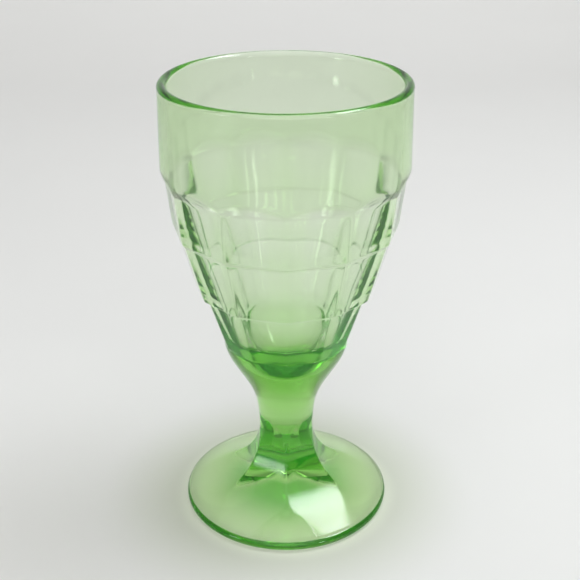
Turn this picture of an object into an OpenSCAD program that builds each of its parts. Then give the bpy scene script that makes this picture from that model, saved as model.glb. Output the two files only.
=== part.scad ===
// Stemmed drinking glass in pressed green glass: a bowl with three rows of flat
// blocks under a plain round band, a waisted stem that turns six-sided towards its
// base, and a foot with six sloping facets over a shallow conical hollow.
// The three nodes are one casting and meet face to face. The origin is on the
// resting plane, on the axis of the glass; +Z points up.

/* [Overall] */
// Height of the lip above the resting plane
total_h = 146; // [120:0.5:180]

/* [Bowl] */
// Number of flat panels round the bowl
panels = 12; // [8:2:16]
// Outer radius of the plain band at the lip
lip_r = 37.7; // [30:0.1:45]
// Outer radius of the plain band at its lower edge
band_r = 38.2; // [30:0.1:45]
// Thickness of the wall at the lip
wall = 3; // [2:0.1:4.5]
// Corner radius at the top of each block row, upper row first
row_top_r = [37.3, 34.5, 27.2]; // [18:0.1:45]
// Corner radius at the bottom of each block row, upper row first
row_low_r = [35.4, 29, 21.3]; // [15:0.1:45]
// Height of the bottom of each block row, upper row first
row_low_z = [100.5, 80.4, 62]; // [50:0.1:120]
// Height of the crease where the bevels above the upper row begin
row_top_z = 116; // [105:0.1:130]
// Height of the slanted step under each block row
step_h = 1; // [0.5:0.1:3]
// Outward lean of the bevels above the upper row, per millimetre of height
bevel_lean = 0.56; // [0.4:0.02:1.2]

/* [Inside of the bowl] */
// Height where the straight part of the inside ends
inside_z = 118; // [105:0.5:130]
// Inside radius where the rounded floor begins
floor_r = 19; // [14:0.1:24]
// Height where the rounded floor begins
floor_top_z = 66; // [60:0.5:72]
// Height of the lowest point inside the bowl
floor_z = 52.4; // [51.5:0.1:60]
// How strongly the inside curves in between the straight part and the floor
taper_power = 1.42; // [1:0.02:2]
// Roundness of the floor, higher is flatter in the middle
floor_power = 1.9; // [1.5:0.1:3]

/* [Stem] */
// Height of the face where the bowl meets the stem
joint_z = 50; // [45:0.5:51]
// Radius under the bowl, where the lowest block row ends
collar_r = 20.25; // [15:0.05:20.5]
// Half of the width across the flats at the waist
waist_r = 8.95; // [6:0.05:14]
// Round radius at the waist
waist_round_r = 9.3; // [6:0.05:15]
// Height of the waist
waist_z = 28.8; // [20:0.1:40]
// Height where the arched tops of the stem's flats end
arch_z = 34.7; // [30:0.1:40]
// How late the stem flares out towards the bowl
flare_power = 1.45; // [1:0.05:2.5]

/* [Foot] */
// Number of facets on the foot and on the base of the stem
foot_sides = 6; // [4:2:12]
// Outer radius of the foot
foot_r = 34.5; // [28:0.1:42]
// Thickness of the foot's round edge
edge_t = 3.2; // [2:0.1:5]
// Height of the face where the stem meets the foot
hub_z = 12.6; // [10:0.1:20]
// Half of the width across the flats where the stem meets the foot
hub_r = 13.6; // [10:0.1:20]
// Share of the foot's rise that is an even slope
even_share = 0.65; // [0.3:0.05:0.9]
// How late the facets turn up towards the hub
facet_power = 4; // [2:0.1:6]
// How late the ridges between the facets turn up towards the hub
ridge_power = 2.4; // [1.5:0.1:6]
// Height of the conical hollow under the foot
hollow_h = 8; // [1:0.5:10]
// Radius of the hollow, the rest of the underside is the resting ring
hollow_r = 30.5; // [20:0.1:32]

/* [Hidden] */
$fn = 96;
flat = cos(180 / panels);
edge_r = edge_t / 2;
lip_round = wall / 2;
disc_r = foot_r - edge_r;
hub_round_r = hub_r / cos(180 / foot_sides) + 0.15;
curve_steps = 10;
arc_steps = 8;
span = 2 * total_h;
clear = 0.3;
flat_power = 2.85;
round_power = 1.7;
hollow_power = 1.6;

// Value of a curve that grows from v0 to v1 as t goes from 0 to 1
function grow(v0, v1, t, power) = v0 + (v1 - v0) * pow(t, power);

// Curve that leaves 0 and reaches 1 level
function ease(t) = 3 * pow(t, 2) - 2 * pow(t, 3);

// Share of the foot's rise reached at the share t of the way from the edge to the hub
function rise(t, power) = even_share * t + (1 - even_share) * pow(t, power);

// Outer radius of the stem at height z above the waist
function flare_r(z) =
    waist_round_r + (collar_r - waist_round_r)
    * ease(pow((z - waist_z) / (row_low_z[2] - step_h - waist_z), flare_power));

// Points of the flare under the bowl, between two heights
function flare(z0, z1) = [
    for (i = [0 : curve_steps])
        let (z = z0 + (z1 - z0) * i / curve_steps)
            [flare_r(z), z]
];

// Points of the stem below the waist, from the hub up
function below_waist(r_waist, r_hub, power) = [
    for (i = [0 : curve_steps - 1])
        [grow(r_waist, r_hub, 1 - i / curve_steps, power), hub_z + (waist_z - hub_z) * i / curve_steps]
];

// Points on the top of the foot, from its edge to the hub
function slope(r_hub, power) = [
    for (i = [0 : curve_steps])
        [disc_r + (r_hub - disc_r) * i / curve_steps,
         edge_t + (hub_z - edge_t) * rise(i / curve_steps, power)]
];

// Points of the rounded lip, from the outside over the top to the inside
function lip_curve() = [
    for (i = [0 : arc_steps])
        [lip_r - lip_round + lip_round * cos(180 * i / arc_steps),
         total_h - lip_round + lip_round * sin(180 * i / arc_steps)]
];

// The points of a half profile followed by their mirror images, as one closed outline
function both_sides(half) = concat(half, [for (i = [len(half) - 1 : -1 : 0]) [-half[i][0], half[i][1]]]);

// Solid with flat sides: an outline of half-widths swept along each pair of opposite panels
module panelled(half, sides) {
    intersection_for (i = [0 : sides / 2 - 1])
        rotate([0, 0, (i + 0.5) * 360 / sides + 90])
            rotate([90, 0, 0])
                linear_extrude(height = span, center = true)
                    polygon(both_sides(half));
}

// Half-widths of the block rows, from the joint with the stem upwards
bevel_top_z = row_top_z + (band_r + clear - row_top_r[0] * flat) / bevel_lean;
rows_profile = [
    [row_low_r[2] * flat, joint_z],
    [row_low_r[2] * flat, row_low_z[2]],
    [row_top_r[2] * flat, row_low_z[1] - step_h],
    [row_low_r[1] * flat, row_low_z[1]],
    [row_top_r[1] * flat, row_low_z[0] - step_h],
    [row_low_r[0] * flat, row_low_z[0]],
    [row_top_r[0] * flat, row_top_z],
    [band_r + clear, bevel_top_z],
    [band_r + clear, total_h]
];

// Round outside of the bowl: the top of the stem's flare, a step out to the block rows,
// room for the rows, and the plain band with its lip
module bowl_round() {
    rotate_extrude()
        polygon(concat([[0, joint_z]], flare(joint_z, row_low_z[2] - step_h),
                       [[row_low_r[2] + clear, row_low_z[2]], [band_r, row_low_z[0]], [band_r, row_top_z]],
                       lip_curve(), [[0, total_h - lip_round]]));
}

// Smooth inside of the bowl, from the open top down to the floor
module bowl_space() {
    rotate_extrude()
        polygon(concat(
            [[0, total_h + clear], [lip_r - wall, total_h + clear], [lip_r - wall, total_h - lip_round]],
            [for (i = [0 : curve_steps])
                [grow(band_r - wall, floor_r, i / curve_steps, taper_power),
                 inside_z - (inside_z - floor_top_z) * i / curve_steps]],
            [for (i = [1 : curve_steps])
                [floor_r * (1 - i / curve_steps),
                 grow(floor_z, floor_top_z, 1 - i / curve_steps, floor_power)]]));
}

module bowl() {
    color("mediumseagreen")
        difference() {
            intersection() {
                panelled(rows_profile, panels);
                bowl_round();
            }
            bowl_space();
        }
}

// Round stem whose base is cut to flats; the flats end in arches just above the waist
module stem() {
    color("seagreen")
        intersection() {
            panelled(concat(below_waist(waist_r, hub_r, flat_power),
                            [[waist_r, waist_z], [flare_r(arch_z), arch_z], [collar_r, joint_z]]), foot_sides);
            rotate_extrude()
                polygon(concat([[0, hub_z]], below_waist(waist_round_r, hub_round_r, round_power),
                               flare(waist_z, joint_z), [[0, joint_z]]));
        }
}

// Flat disc with a half-round edge
module foot_disc() {
    rotate_extrude()
        polygon(concat([[0, 0]],
                       [for (i = [0 : 2 * arc_steps])
                           [disc_r + edge_r * sin(90 * i / arc_steps), edge_r - edge_r * cos(90 * i / arc_steps)]],
                       [[0, edge_t]]));
}

// Facets rising to the hub, with ridges that fade out towards the round edge
module foot_facets() {
    intersection() {
        panelled(concat([[disc_r, edge_r]], slope(hub_r, facet_power)), foot_sides);
        rotate_extrude()
            polygon(concat([[0, edge_r], [disc_r, edge_r]], slope(hub_round_r, ridge_power), [[0, hub_z]]));
    }
}

// Conical hollow under the foot
module foot_space() {
    rotate_extrude()
        polygon(concat([[0, -clear], [hollow_r, -clear]],
                       [for (i = [0 : curve_steps])
                           [hollow_r * (1 - i / curve_steps),
                            grow(0, hollow_h, i / curve_steps, hollow_power)]]));
}

module foot() {
    color("darkseagreen")
        difference() {
            union() {
                foot_disc();
                foot_facets();
            }
            foot_space();
        }
}

bowl();
stem();
foot();
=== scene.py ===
# Stemmed glass in pressed green glass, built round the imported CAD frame.
# Shape values are millimetres in the shared frame, values of the stage are metres.
# +Z is up and the camera looks from -Y.
import math

import bmesh
import bpy
import numpy as np
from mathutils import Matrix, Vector, noise


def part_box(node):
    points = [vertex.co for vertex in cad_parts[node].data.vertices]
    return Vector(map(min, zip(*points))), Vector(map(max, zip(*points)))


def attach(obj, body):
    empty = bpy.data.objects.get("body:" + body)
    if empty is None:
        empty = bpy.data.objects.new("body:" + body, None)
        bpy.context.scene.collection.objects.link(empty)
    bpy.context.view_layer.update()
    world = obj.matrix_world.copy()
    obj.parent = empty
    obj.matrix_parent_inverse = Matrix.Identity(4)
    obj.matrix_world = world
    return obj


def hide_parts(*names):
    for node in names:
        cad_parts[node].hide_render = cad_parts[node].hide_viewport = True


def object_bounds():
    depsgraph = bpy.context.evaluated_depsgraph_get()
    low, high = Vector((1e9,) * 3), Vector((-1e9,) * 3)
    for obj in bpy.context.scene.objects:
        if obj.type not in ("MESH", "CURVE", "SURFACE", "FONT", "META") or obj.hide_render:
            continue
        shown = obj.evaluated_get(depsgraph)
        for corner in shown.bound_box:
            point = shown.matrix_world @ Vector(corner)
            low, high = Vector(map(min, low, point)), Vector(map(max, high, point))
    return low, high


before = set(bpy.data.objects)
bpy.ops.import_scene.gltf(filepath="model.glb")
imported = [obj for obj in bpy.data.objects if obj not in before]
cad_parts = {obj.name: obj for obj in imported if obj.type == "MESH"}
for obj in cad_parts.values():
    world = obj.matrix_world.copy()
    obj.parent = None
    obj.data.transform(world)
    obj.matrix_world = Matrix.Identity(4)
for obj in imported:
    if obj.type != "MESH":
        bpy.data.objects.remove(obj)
cad_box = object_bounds()

MM = 0.001


def cad_size(name):
    """Largest radius, lowest and highest point of a CAD node, in millimetres."""
    low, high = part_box(name)
    return (high.y - low.y) / 2 / MM, low.z / MM, high.z / MM


# ---------------------------------------------------------------- shape
BAND_R, JOINT_Z, TOTAL_H = cad_size("bowl")
FOOT_R, _, HUB_Z = cad_size("foot")

PANELS = 12
LIP_INSET, WALL = 0.5, 3.0
ROW_TOP_R = (37.3, 34.5, 27.2)    # corner radii, upper row first
ROW_LOW_R = (35.4, 29.0, 21.3)
ROW_LOW_Z = (100.5, 80.4, 62.0)
ROW_TOP_Z, STEP_H, BEVEL_LEAN = 116.0, 1.0, 0.56
BEVEL_RUN = 1.5                   # how far the bevels above the upper row run on past the band

# The inside tapers below INSIDE_Z and ends in a rounded floor.
INSIDE_Z, FLOOR_R, FLOOR_TOP_Z, FLOOR_Z = 118.0, 19.0, 66.0, 52.4
TAPER_POWER, FLOOR_POWER = 1.42, 1.9

# The stem is round under its collar and has six flats from the arches down.
COLLAR_R, COLLAR_Z = 20.25, ROW_LOW_Z[2] - STEP_H
WAIST_R, WAIST_ROUND_R, WAIST_Z = 8.95, 9.3, 28.8
ARCH_Z, FLARE_POWER = 34.7, 1.45
FLAT_POWER, ROUND_POWER = 2.85, 1.7

# The foot's facets and the ridges between them rise to the hub in curves of their own.
FOOT_SIDES = 6
EDGE_T = 3.2
HUB_R, HUB_SLACK = 13.6, 0.15
EVEN_SHARE, FACET_POWER, RIDGE_POWER = 0.65, 4.0, 2.4
HOLLOW_H, HOLLOW_R, HOLLOW_POWER = 8.0, 30.5, 1.6

LIP_R = BAND_R - LIP_INSET
DISC_R = FOOT_R - EDGE_T / 2
FLAT = math.cos(math.pi / PANELS)
HUB_ROUND_R = HUB_R / math.cos(math.pi / FOOT_SIDES) + HUB_SLACK

# ---------------------------------------------------------------- soft edges and unevenness
BOWL_EDGE, FOOT_EDGE = 160.0, 90.0                # higher gives crisper edges between the flats
ROW_ROUNDING = (0.5, 0.9, 0.7, 2.2, 2.0, 4.0)     # radii along the profile of the rows, lowest corner first
NO_FLATS = 500.0                                  # half-width that leaves a row round
WAVE_SIZE, WAVE_DEPTH = 8.0, 0.08                 # slight unevenness left by pressing and fire-polishing
CALM_R = 3.0                                      # the surface is even inside this radius

# ---------------------------------------------------------------- fineness of the mesh
SEGMENTS = 18           # columns per panel
CROWDING = 0.8          # how strongly the columns crowd towards the edges between panels, 0 to 1
STEP = 0.8              # longest stretch of an outside profile between two rows
INSIDE_STEP = 1.6
HOLLOW_ROWS, EDGE_ROWS, FACET_ROWS, RIDGE_POINTS = 24, 16, 44, 200
BASE_ROWS, FLARE_ROWS = 40, 52
BAND_ROWS, LIP_ROWS, INSIDE_ROWS = 16, 16, 30


def grow(v0, v1, t, power):
    """Value of a curve that grows from v0 to v1 as t goes from 0 to 1."""
    return v0 + (v1 - v0) * t ** power


def ease(t):
    """Curve that leaves 0 and reaches 1 level."""
    return 3 * t ** 2 - 2 * t ** 3


def rise(t, power):
    """Share of the foot's rise reached at the share t of the way from the edge to the hub."""
    return EVEN_SHARE * t + (1 - EVEN_SHARE) * t ** power


def flare_r(z):
    """Round radius of the stem above the waist."""
    t = min(1.0, (z - WAIST_Z) / (COLLAR_Z - WAIST_Z))
    return WAIST_ROUND_R + (COLLAR_R - WAIST_ROUND_R) * ease(t ** FLARE_POWER)


def rounded(points, radii, steps=5, most=0.45):
    """A profile with its inner corners rounded; a curve takes up at most the share `most` of a side."""
    out = [points[0]]
    for before, here, after, radius in zip(points, points[1:], points[2:], radii):
        corner = np.array(here)
        a, b = np.array(before) - corner, np.array(after) - corner
        long_a, long_b = np.linalg.norm(a), np.linalg.norm(b)
        a, b = a / long_a, b / long_b
        angle = math.acos(max(-1.0, min(1.0, float(a @ b))))
        reach = min(radius / math.tan(angle / 2), most * long_a, most * long_b)
        start, end = corner + a * reach, corner + b * reach
        for i in range(steps + 1):
            t = i / steps
            out.append(tuple((1 - t) ** 2 * start + 2 * t * (1 - t) * corner + t ** 2 * end))
    out.append(points[-1])
    return out


def resampled(points, step):
    """The same profile with no stretch longer than step."""
    out = [points[0]]
    for p, q in zip(points, points[1:]):
        n = max(1, math.ceil(math.dist(p, q) / step))
        out += [tuple(a + (b - a) * i / n for a, b in zip(p, q)) for i in range(1, n + 1)]
    return out


# ---------------------------------------------------------------- rows of the outside
# Each row is (half-width of the flats, height, round radius, number of flats, crispness of their edges).
def foot_rows():
    """Round edge of the foot, then the facets up to the hub."""
    edge_r = EDGE_T / 2
    rows = []
    for i in range(EDGE_ROWS):
        a = math.pi * i / EDGE_ROWS
        z, round_r = edge_r - edge_r * math.cos(a), DISC_R + edge_r * math.sin(a)
        rows.append((NO_FLATS, z, round_r, FOOT_SIDES, FOOT_EDGE))
    ridge_t = np.linspace(0, 1, RIDGE_POINTS)
    ridge_r = DISC_R + (HUB_ROUND_R - DISC_R) * ridge_t
    ridge_up = rise(ridge_t, RIDGE_POWER)
    for i in range(FACET_ROWS):
        t = i / FACET_ROWS
        up = rise(t, FACET_POWER)
        half, z = DISC_R + (HUB_R - DISC_R) * t, EDGE_T + (HUB_Z - EDGE_T) * up
        rows.append((half, z, float(np.interp(up, ridge_up, ridge_r)), FOOT_SIDES, FOOT_EDGE))
    return rows


def stem_rows():
    """From the hub to the collar; the flats end in arches above the waist."""
    rows = []
    for i in range(BASE_ROWS):
        t = 1 - i / BASE_ROWS
        z = HUB_Z + (WAIST_Z - HUB_Z) * i / BASE_ROWS
        half = grow(WAIST_R, HUB_R, t, FLAT_POWER)
        rows.append((half, z, grow(WAIST_ROUND_R, HUB_ROUND_R, t, ROUND_POWER), FOOT_SIDES, FOOT_EDGE))
    arch_r = flare_r(ARCH_Z)
    for i in range(FLARE_ROWS):
        z = WAIST_Z + (COLLAR_Z - WAIST_Z) * i / FLARE_ROWS
        half = WAIST_R + (arch_r - WAIST_R) * (z - WAIST_Z) / (ARCH_Z - WAIST_Z)
        if z > ARCH_Z:
            half = arch_r + (COLLAR_R - arch_r) * (z - ARCH_Z) / (JOINT_Z - ARCH_Z)
        if z > JOINT_Z:
            half = NO_FLATS
        rows.append((half, z, flare_r(z), FOOT_SIDES, FOOT_EDGE))
    return rows


def band_r(z):
    """Outside of the plain band, drawn in slightly towards the lip."""
    t = max(0.0, min(1.0, (z - ROW_TOP_Z) / (TOTAL_H - WALL / 2 - ROW_TOP_Z)))
    return BAND_R + (LIP_R - BAND_R) * t


def bowl_rows():
    """The three rows of blocks, then the plain band up to the lip."""
    top = BAND_R + BEVEL_RUN
    profile = [
        (COLLAR_R, COLLAR_Z),
        (ROW_LOW_R[2] * FLAT, ROW_LOW_Z[2]),
        (ROW_TOP_R[2] * FLAT, ROW_LOW_Z[1] - STEP_H),
        (ROW_LOW_R[1] * FLAT, ROW_LOW_Z[1]),
        (ROW_TOP_R[1] * FLAT, ROW_LOW_Z[0] - STEP_H),
        (ROW_LOW_R[0] * FLAT, ROW_LOW_Z[0]),
        (ROW_TOP_R[0] * FLAT, ROW_TOP_Z),
        (top, ROW_TOP_Z + (top - ROW_TOP_R[0] * FLAT) / BEVEL_LEAN),
    ]
    rows = []
    for half, z in resampled(rounded(profile, ROW_ROUNDING), STEP):
        round_r = band_r(z)
        if z < ROW_LOW_Z[2]:
            round_r = COLLAR_R + (ROW_LOW_R[2] - COLLAR_R) * (z - COLLAR_Z) / STEP_H
        rows.append((half, z, round_r, PANELS, BOWL_EDGE))
    start = rows[-1][1]
    for i in range(1, BAND_ROWS + 1):
        z = start + (TOTAL_H - WALL / 2 - start) * i / BAND_ROWS
        rows.append((NO_FLATS, z, band_r(z), PANELS, BOWL_EDGE))
    return rows


# ---------------------------------------------------------------- round profiles, as (radius, height)
def inside_profile():
    """Lip and inside of the bowl down to just before the axis."""
    lip = WALL / 2
    turns = [math.pi * i / LIP_ROWS for i in range(1, LIP_ROWS + 1)]
    over = [(LIP_R - lip + lip * math.cos(a), TOTAL_H - lip + lip * math.sin(a)) for a in turns]
    n = INSIDE_ROWS
    wall = [(grow(BAND_R - WALL, FLOOR_R, i / n, TAPER_POWER), INSIDE_Z - (INSIDE_Z - FLOOR_TOP_Z) * i / n)
            for i in range(n + 1)]
    wall += [(FLOOR_R * (1 - i / n), grow(FLOOR_Z, FLOOR_TOP_Z, 1 - i / n, FLOOR_POWER)) for i in range(1, n)]
    return over + resampled([over[-1]] + wall, INSIDE_STEP)[1:]


def underside_profile():
    """Hollow under the foot, from near the axis out to the resting ring."""
    n = HOLLOW_ROWS
    return [(HOLLOW_R * i / n, HOLLOW_H * (1 - i / n) ** HOLLOW_POWER) for i in range(1, n + 1)]


# ---------------------------------------------------------------- the mesh
def column_angles():
    """Angles of the mesh columns, closer together near the edges between panels."""
    out = []
    for k in range(PANELS):
        for j in range(SEGMENTS):
            u = j / SEGMENTS
            crowded = u - CROWDING * math.sin(2 * math.pi * u) / (2 * math.pi)
            out.append((k + crowded) * 2 * math.pi / PANELS - math.pi / 2)
    return np.array(out)


def ring(angles, half_width, round_r, sides, crispness):
    """Radius at each angle where flat sides and a round outline meet in soft edges."""
    pitch = 2 * math.pi / sides
    middle = (np.floor((angles + math.pi / 2 + 1e-9) / pitch) + 0.5) * pitch - math.pi / 2
    total = np.full_like(angles, round_r ** -crispness)
    for k in (-1, 0, 1):
        total += (np.maximum(1e-6, np.cos(angles - middle - k * pitch)) / half_width) ** crispness
    return total ** (-1.0 / crispness)


def uneven(place):
    """How far the pressed surface falls short at a point, 0 to WAVE_DEPTH."""
    return WAVE_DEPTH * (0.5 + 0.5 * max(-1.0, min(1.0, noise.noise(Vector(place) / WAVE_SIZE))))


def glass_mesh():
    """One closed skin: up the hollow's inside, round the outside and over the lip to the bowl's floor."""
    angles = column_angles()
    level = np.ones_like(angles)
    # The last value says which way unevenness moves a row: 1 inwards, -1 outwards, 0 not at all.
    rows = [(level * r, z, 0.0) for r, z in underside_profile()]
    rows += [(ring(angles, half, r, sides, crispness), z, 1.0 if z > EDGE_T else 0.0)
             for half, z, r, sides, crispness in foot_rows() + stem_rows() + bowl_rows()]
    rows += [(level * r, z, -1.0) for r, z in inside_profile()]
    bm = bmesh.new()
    grid = []
    for radii, z, side in rows:
        line = []
        for r, a in zip(radii, angles):
            x, y = r * math.cos(a), r * math.sin(a)
            inset = 1.0 - side * uneven((x, y, z)) / r if r > CALM_R else 1.0
            line.append(bm.verts.new((x * inset * MM, y * inset * MM, z * MM)))
        grid.append(line)
    n = len(angles)
    for low, high in zip(grid, grid[1:]):
        for i in range(n):
            bm.faces.new((low[i], low[(i + 1) % n], high[(i + 1) % n], high[i]))
    under = bm.verts.new((0, 0, HOLLOW_H * MM))
    floor = bm.verts.new((0, 0, FLOOR_Z * MM))
    for i in range(n):
        bm.faces.new((under, grid[0][(i + 1) % n], grid[0][i]))
        bm.faces.new((floor, grid[-1][i], grid[-1][(i + 1) % n]))
    bmesh.ops.recalc_face_normals(bm, faces=bm.faces[:])
    return smooth_mesh(bm, "goblet_glass")


def smooth_mesh(bm, name):
    """Mesh data from a bmesh, shaded smooth."""
    mesh = bpy.data.meshes.new(name)
    bm.to_mesh(mesh)
    bm.free()
    for p in mesh.polygons:
        p.use_smooth = True
    return mesh


# ---------------------------------------------------------------- nodes that several materials use
def smooth_fade(t, value, near, far, at_near, at_far):
    """Output that runs smoothly from at_near to at_far as the value goes from near to far."""
    fade = t.nodes.new("ShaderNodeMapRange")
    fade.interpolation_type = "SMOOTHSTEP"
    fade.inputs["From Min"].default_value = near
    fade.inputs["From Max"].default_value = far
    fade.inputs["To Min"].default_value = at_near
    fade.inputs["To Max"].default_value = at_far
    t.links.new(value, fade.inputs["Value"])
    return fade.outputs["Result"]


def fade_around(t, place, centre, near, far, at_near, at_far):
    """The same by the distance of a place from a centre."""
    shift = t.nodes.new("ShaderNodeVectorMath")
    shift.operation = "SUBTRACT"
    shift.inputs[1].default_value = centre
    away = t.nodes.new("ShaderNodeVectorMath")
    away.operation = "LENGTH"
    t.links.new(place, shift.inputs[0])
    t.links.new(shift.outputs["Vector"], away.inputs[0])
    return smooth_fade(t, away.outputs["Value"], near, far, at_near, at_far)


def colour_mix(t, strength, colour):
    """Mix node that goes from its A to the colour as the strength goes from 0 to 1."""
    mix = t.nodes.new("ShaderNodeMix")
    mix.data_type = "RGBA"
    mix.inputs["B"].default_value = colour
    t.links.new(strength, mix.inputs["Factor"])
    return mix


# ---------------------------------------------------------------- materials
def glass_material():
    """Clear glass with green absorption inside it, slightly worn and slightly uneven."""
    mat = bpy.data.materials.new("green_glass")
    mat.use_nodes = True
    t = mat.node_tree
    t.nodes.clear()
    out = t.nodes.new("ShaderNodeOutputMaterial")
    shader = t.nodes.new("ShaderNodeBsdfPrincipled")
    shader.inputs["Transmission Weight"].default_value = 1.0
    shader.inputs["IOR"].default_value = 1.52
    volume = t.nodes.new("ShaderNodeVolumeAbsorption")
    volume.inputs["Color"].default_value = (0.405, 0.815, 0.05, 1)
    volume.inputs["Density"].default_value = 76.0
    where = t.nodes.new("ShaderNodeTexCoord")
    haze = t.nodes.new("ShaderNodeTexNoise")
    haze.inputs["Scale"].default_value = 60.0
    haze.inputs["Detail"].default_value = 5.0
    rough = t.nodes.new("ShaderNodeMapRange")
    rough.inputs["To Min"].default_value = 0.03
    rough.inputs["To Max"].default_value = 0.08
    tint = colour_mix(t, haze.outputs["Fac"], (0.94, 0.965, 0.92, 1))
    tint.inputs["A"].default_value = (0.97, 0.985, 0.96, 1)
    wave = t.nodes.new("ShaderNodeTexNoise")
    wave.inputs["Scale"].default_value = 90.0
    wave.inputs["Detail"].default_value = 2.0
    bump = t.nodes.new("ShaderNodeBump")
    bump.inputs["Strength"].default_value = 0.05
    bump.inputs["Distance"].default_value = 0.0006
    link = t.links.new
    link(where.outputs["Object"], haze.inputs["Vector"])
    link(where.outputs["Object"], wave.inputs["Vector"])
    link(haze.outputs["Fac"], rough.inputs["Value"])
    link(rough.outputs["Result"], shader.inputs["Roughness"])
    link(tint.outputs["Result"], shader.inputs["Base Color"])
    link(wave.outputs["Fac"], bump.inputs["Height"])
    link(bump.outputs["Normal"], shader.inputs["Normal"])
    link(shader.outputs["BSDF"], out.inputs["Surface"])
    link(volume.outputs["Volume"], out.inputs["Volume"])
    return mat


def floor_material():
    """Pale floor with painted light and shade: a painted pool of green-tinted shade under the glass, deepest
    under the stem, where real glass would pass green light, a faint painted glow round the foot, and a
    painted soft shade far out.
    """
    mat = bpy.data.materials.new("pale_floor")
    mat.use_nodes = True
    t = mat.node_tree
    link = t.links.new
    shader = t.nodes["Principled BSDF"]
    shader.inputs["Roughness"].default_value = 0.6
    grain = t.nodes.new("ShaderNodeTexNoise")
    grain.inputs["Scale"].default_value = 25.0
    tone = colour_mix(t, grain.outputs["Fac"], (0.82, 0.82, 0.81, 1))
    tone.inputs["A"].default_value = (0.79, 0.79, 0.78, 1)
    place = t.nodes.new("ShaderNodeTexCoord").outputs["Object"]
    axis, room_middle = (0, 0, 0), (0, 0.35, 0)
    foot = FOOT_R * MM
    colour = tone.outputs["Result"]
    # Painted light and shade laid over the floor's own tone: a green-tinted pool of shade under the glass,
    # its deeper core under the stem, and a shade far out.
    for strength, painted_tint in (
        (fade_around(t, place, axis, 0.6 * foot, 2.0 * foot, 1, 0), (0.58, 0.62, 0.50, 1)),     # painted pool of green-tinted shade under the glass
        (fade_around(t, place, axis, 0.15 * foot, 0.75 * foot, 1, 0), (0.26, 0.48, 0.20, 1)),   # its painted deeper green core under the stem
        (fade_around(t, place, room_middle, 0.62, 1.05, 0, 1), (0.46, 0.46, 0.455, 1)),         # painted shade far out
    ):
        mix = colour_mix(t, strength, painted_tint)
        link(colour, mix.inputs["A"])
        colour = mix.outputs["Result"]
    # Painted light: the floor glows faintly under and just round the foot in its own colour, standing for the
    # light that green glass passes onto it.
    painted_glow = fade_around(t, place, axis, 0.78 * foot, 1.16 * foot, 0.6, 0)
    link(colour, shader.inputs["Base Color"])
    link(colour, shader.inputs["Emission Color"])
    link(painted_glow, shader.inputs["Emission Strength"])
    return mat


# ---------------------------------------------------------------- the piece
# One casting, so one closed mesh: a seam between pieces would show as a mirror inside the glass.
glass = bpy.data.objects.new("goblet_glass", glass_mesh())
bpy.context.scene.collection.objects.link(glass)
glass.data.materials.append(glass_material())
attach(glass, "root")
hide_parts("bowl", "stem", "foot")


# ---------------------------------------------------------------- floor, light, camera
FLOOR_GAP = 0.0002      # keeps the floor just clear of the resting ring


def backdrop():
    """Pale floor that curves up into a wall behind the glass."""
    half, front, back, bend, height, turns = 1.5, -1.5, 0.9, 0.35, 1.8, 12
    line = [(front, 0.0), (back - bend, 0.0)]
    for i in range(1, turns + 1):
        a = math.pi / 2 * i / turns
        line.append((back - bend + bend * math.sin(a), bend - bend * math.cos(a)))
    line.append((back, height))
    bm = bmesh.new()
    left = [bm.verts.new((-half, y, z)) for y, z in line]
    right = [bm.verts.new((half, y, z)) for y, z in line]
    for i in range(len(line) - 1):
        bm.faces.new((left[i], right[i], right[i + 1], left[i + 1]))
    obj = bpy.data.objects.new("floor", smooth_mesh(bm, "floor"))
    bpy.context.scene.collection.objects.link(obj)
    obj.data.materials.append(floor_material())
    obj.location.z = cad_box[0][2] - FLOOR_GAP
    return obj


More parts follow.
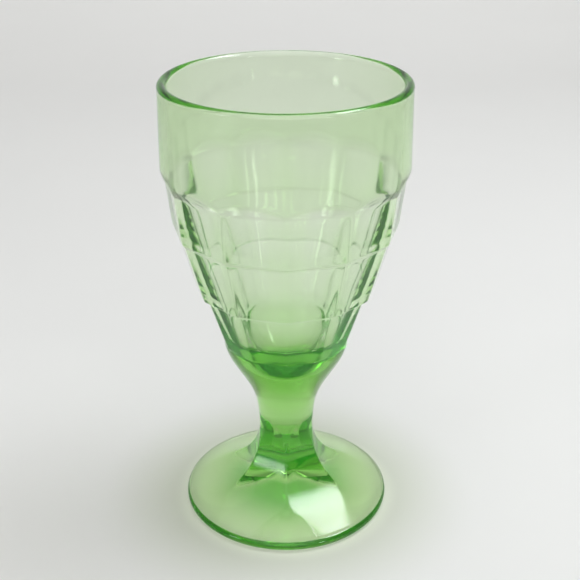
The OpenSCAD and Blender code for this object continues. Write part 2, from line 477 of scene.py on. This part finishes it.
def soft_room():
    """Even white light that falls off to dimmer sides, which draw the edges of the glass."""
    world = bpy.data.worlds.new("soft_room")
    world.use_nodes = True
    t = world.node_tree
    sky = t.nodes["Background"]
    sky.inputs["Color"].default_value = (1.0, 0.995, 0.98, 1)
    where = t.nodes.new("ShaderNodeTexCoord")
    axes = t.nodes.new("ShaderNodeSeparateXYZ")
    aside = t.nodes.new("ShaderNodeMath")
    aside.operation = "ABSOLUTE"
    t.links.new(where.outputs["Generated"], axes.inputs["Vector"])
    t.links.new(axes.outputs["X"], aside.inputs[0])
    strength = smooth_fade(t, aside.outputs["Value"], near=0.15, far=0.75, at_near=1.27, at_far=0.32)
    t.links.new(strength, sky.inputs["Strength"])
    return world


def soft_box(name, place, size, power, colour):
    """Lamp aimed at the glass, brightest in the middle of its sheet and fading out towards the edges."""
    data = bpy.data.lights.new(name, "AREA")
    data.shape = "RECTANGLE"
    data.size, data.size_y = size
    data.energy = power
    data.color = colour
    data.use_nodes = True
    t = data.node_tree
    across = t.nodes.new("ShaderNodeNewGeometry").outputs["Parametric"]
    middle = (0.5, 0.5, 0)
    strength = fade_around(t, across, middle, near=0.12, far=0.52, at_near=1, at_far=0)
    t.links.new(strength, t.nodes["Emission"].inputs["Strength"])
    aim = (cad_box[0] + cad_box[1]) / 2
    obj = bpy.data.objects.new(name, data)
    obj.location = place
    obj.rotation_euler = (aim - Vector(place)).to_track_quat("-Z", "Y").to_euler()
    bpy.context.scene.collection.objects.link(obj)


def photo_camera():
    """Camera in front of the glass, looking down on it from just above the lip."""
    distance, height, pitch, pan = 0.29905, 0.22258, math.radians(25.886), math.radians(-0.25)
    data = bpy.data.cameras.new("camera")
    data.sensor_width, data.lens = 36.0, 64.3469
    data.clip_start = 0.01
    obj = bpy.data.objects.new("camera", data)
    obj.location = (0, -distance, height)
    obj.rotation_euler = (math.pi / 2 - pitch, 0, pan)
    bpy.context.scene.collection.objects.link(obj)
    return obj


backdrop()
bpy.context.scene.world = soft_room()
soft_box("overhead", place=(0.30, 0.09, 0.67), size=(0.62, 0.24), power=5.4, colour=(0.93, 0.97, 1.0))
soft_box("left", place=(-0.61, -0.43, 0.17), size=(0.24, 0.36), power=1.6, colour=(0.95, 0.98, 1.0))
soft_box("window", place=(0.55, -0.75, 0.20), size=(0.14, 0.38), power=1.1, colour=(0.97, 0.99, 1.0))
bpy.context.scene.camera = photo_camera()
bpy.context.scene.view_settings.view_transform = "Standard"

BOUNCES = 32            # light runs round many times inside the thick glass
cycles = bpy.context.scene.cycles
cycles.max_bounces = BOUNCES
cycles.transmission_bounces = BOUNCES
cycles.glossy_bounces = BOUNCES
